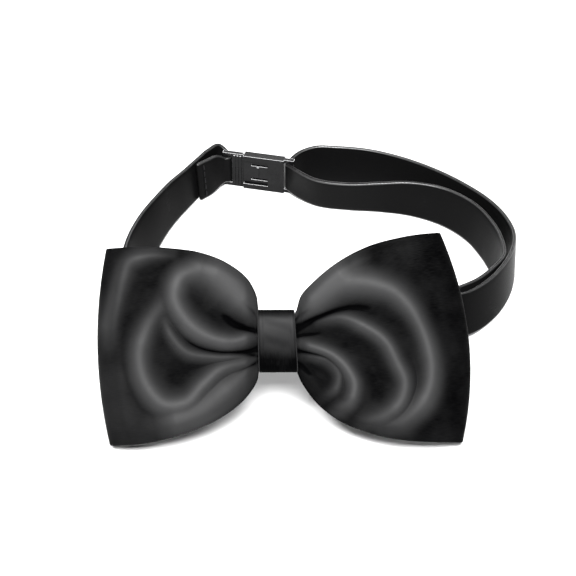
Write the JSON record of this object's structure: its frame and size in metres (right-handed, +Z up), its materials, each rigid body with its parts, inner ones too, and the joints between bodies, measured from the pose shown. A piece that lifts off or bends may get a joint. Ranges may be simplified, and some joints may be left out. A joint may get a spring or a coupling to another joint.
{
  "type": "bow tie",
  "caption": "Ready-tied satin bow tie on an adjustable neck band that closes with a slide-in plastic clip at the back.",
  "frame": {"origin": "middle of the neck loop, on the surface that the tie rests on", "axes": "+Z up out of the neck loop, -Y towards the bow's front, +X towards the wearer's left as the tie is seen from the front"},
  "size_m": [0.1445, 0.1648, 0.059],
  "materials": {
    "bow_satin": "black satin, soft sheen",
    "band_satin": "black satin, pressed flat",
    "stiffener": "bonded fleece interlining",
    "thread": "black sewing thread",
    "clip_plastic": "moulded black, glossy"
  },
  "bodies": {
    "root": {"bow_cover": "bow_satin", "bow_interlining": "stiffener", "bow_gather_thread": "thread", "knot_wrap": "bow_satin", "knot_interlining": "stiffener", "knot_closing_stitches": "thread", "band_tack_stitches": "thread", "left_band": "band_satin", "left_band_interlining": "stiffener", "right_band": "band_satin", "right_band_interlining": "stiffener", "right_band_return": "band_satin", "right_return_interlining": "stiffener", "clip_socket": "clip_plastic"},
    "hook": {"clip_hook": "clip_plastic", "left_fold_stitches": "thread"},
    "slider": {"band_slider": "clip_plastic", "slider_end_stitches": "thread"}
  },
  "joints": [
    {"name": "clip_release", "type": "slide", "parent": "root", "child": "hook", "axis": [-0.9703, 0.2419, 0], "range_m": [0, 0.022], "deforming": ["left_band", "left_band_interlining"]},
    {"name": "size_adjust", "type": "slide", "parent": "root", "child": "slider", "axis": [0.7919, 0.5595, -0.2448], "range_m": [-0.013, 0.013], "deforming": ["right_band_return", "right_return_interlining"]}
  ]
}
